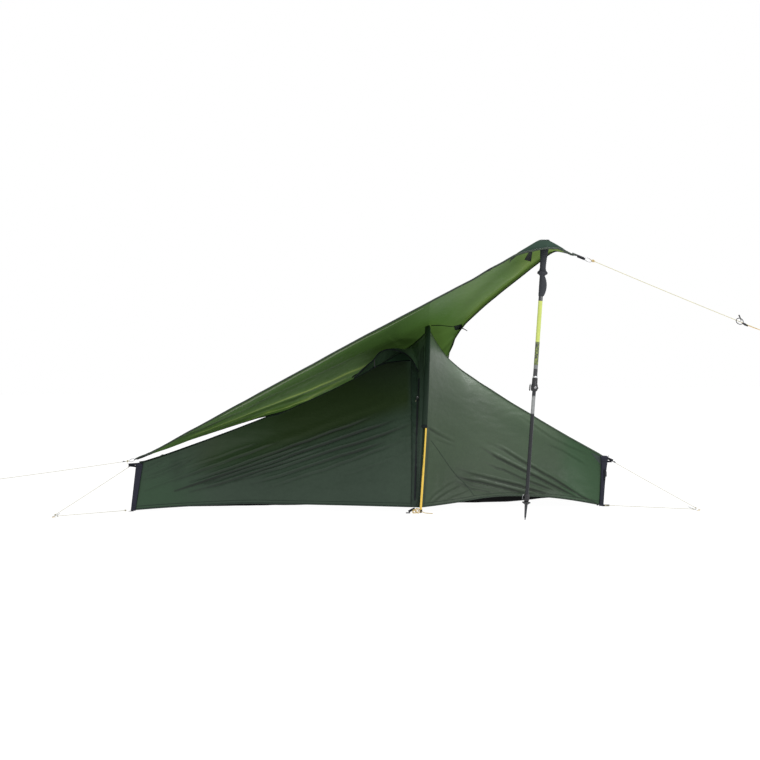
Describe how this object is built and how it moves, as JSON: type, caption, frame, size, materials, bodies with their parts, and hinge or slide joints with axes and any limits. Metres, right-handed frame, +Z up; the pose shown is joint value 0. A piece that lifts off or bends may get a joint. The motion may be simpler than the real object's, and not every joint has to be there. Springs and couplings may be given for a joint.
{
  "type": "tarp tent",
  "caption": "Low one-person shelter with a single hoop, short corner struts, zipped fly, inner tent and a wing tarp held up by a telescopic walking pole and guylines.",
  "frame": {"origin": "on the ground, under the middle of the tent with its pegs (the cords left out)", "axes": "+X from the foot end towards the head end, +Y away from the door side, +Z up"},
  "size_m": [3.9585, 2.1447, 1.3425],
  "materials": {
    "fly_cloth": "dark grey-green coated nylon, slight sheen",
    "tarp_cloth": "thin green nylon, lets light through",
    "black_webbing": "woven, matte",
    "black_plastic": "satin",
    "gold_alloy": "anodised, satin",
    "dark_shaft": "dark lacquer, satin",
    "lime_shaft": "lacquered, satin",
    "grip_foam": "closed-cell foam, matte",
    "steel": "bright",
    "pale_cord": "braided, matte",
    "floor_cloth": "heavy coated nylon, satin",
    "inner_cloth": "light breathable fabric, matte"
  },
  "bodies": {
    "tent": {"hoop_section_near": "gold_alloy", "hoop_section_near_top": "gold_alloy", "hoop_section_far_top": "gold_alloy", "hoop_section_far": "gold_alloy", "hoop_foot_near": "black_plastic", "hoop_foot_far": "black_plastic", "pole_sleeve": "black_webbing", "fly_door_wall": "fly_cloth", "fly_back_wall_foot": "fly_cloth", "fly_front_wall_head": "fly_cloth", "fly_back_wall_head": "fly_cloth", "fly_foot_end": "fly_cloth", "fly_head_end": "fly_cloth", "foot_strut_near": "dark_shaft", "foot_strut_far": "dark_shaft", "head_strut_near": "dark_shaft", "head_strut_far": "dark_shaft", "zip_track": "black_plastic", "vent_hood": "fly_cloth", "inner_floor": "floor_cloth", "inner_canopy": "inner_cloth", "tarp_foot_panel": "tarp_cloth", "tarp_head_panel": "tarp_cloth", "tarp_grommet": "steel", "tarp_head_ring": "steel", "tarp_head_webbing": "black_webbing", "tarp_foot_ring": "steel", "tarp_back_ring": "steel", "pole_grip": "grip_foam", "pole_grip_extension": "grip_foam", "pole_upper_shaft": "lime_shaft", "pole_upper_clamp": "black_plastic", "head_guyline": "pale_cord", "foot_guyline": "pale_cord", "peg_foot": "steel", "peg_head": "steel", "peg_foot_far": "steel", "peg_head_far": "steel", "peg_back": "steel", "foot_top_line": "pale_cord", "foot_bottom_line": "pale_cord", "head_top_line": "pale_cord", "head_bottom_line": "pale_cord", "foot_far_line": "pale_cord", "head_far_line": "pale_cord", "back_guyline": "pale_cord", "base_strap_near": "black_webbing", "base_buckle_near": "black_plastic"},
    "pole_middle": {"pole_middle_shaft": "dark_shaft", "pole_lower_clamp": "black_plastic"},
    "pole_lower": {"pole_lower_shaft": "dark_shaft", "pole_basket": "black_plastic"},
    "upper_lever": {"pole_upper_lever": "black_plastic"},
    "lower_lever": {"pole_lower_lever": "black_plastic"},
    "zip_slider": {"zip_slider": "steel"},
    "zip_pull": {"zip_pull": "black_plastic"},
    "line_tensioner": {"line_tensioner": "black_plastic"},
    "vent_prop": {"vent_prop": "black_plastic"}
  },
  "joints": [
    {"name": "pole_middle_slide", "type": "slide", "parent": "tent", "child": "pole_middle", "axis": [0.0848, 0.0263, 0.9961], "range_m": [0, 0.45]},
    {"name": "pole_lower_slide", "type": "slide", "parent": "pole_middle", "child": "pole_lower", "axis": [0.0848, 0.0263, 0.9961], "range_m": [-0.3, 0]},
    {"name": "upper_lever_hinge", "type": "hinge", "parent": "tent", "child": "upper_lever", "pos_m": [0.74722, -0.9806, 0.64868], "axis": [0, 0.9997, -0.0263], "range_deg": [0, 100]},
    {"name": "lower_lever_hinge", "type": "hinge", "parent": "pole_middle", "child": "lower_lever", "pos_m": [0.70613, -0.99451, 0.12095], "axis": [0, 0.9997, -0.0263], "range_deg": [0, 100]},
    {"name": "zip_slide", "type": "slide", "parent": "tent", "child": "zip_slider", "axis": [0.0659, 0.3936, 0.9169], "range_m": [-0.16, 0.03]},
    {"name": "zip_pull_hinge", "type": "hinge", "parent": "zip_slider", "child": "zip_pull", "pos_m": [0.21727, -0.50306, 0.58915], "axis": [-0.8139, 0.5529, -0.1789], "range_deg": [0, 120]},
    {"name": "tensioner_slide", "type": "slide", "parent": "tent", "child": "line_tensioner", "axis": [0.9204, 0, -0.3909], "range_m": [-0.3, 0.08]},
    {"name": "vent_prop_hinge", "type": "hinge", "parent": "tent", "child": "vent_prop", "pos_m": [0.0007, -0.2967, 0.74], "axis": [1, 0, 0], "range_deg": [0, 100]}
  ]
}
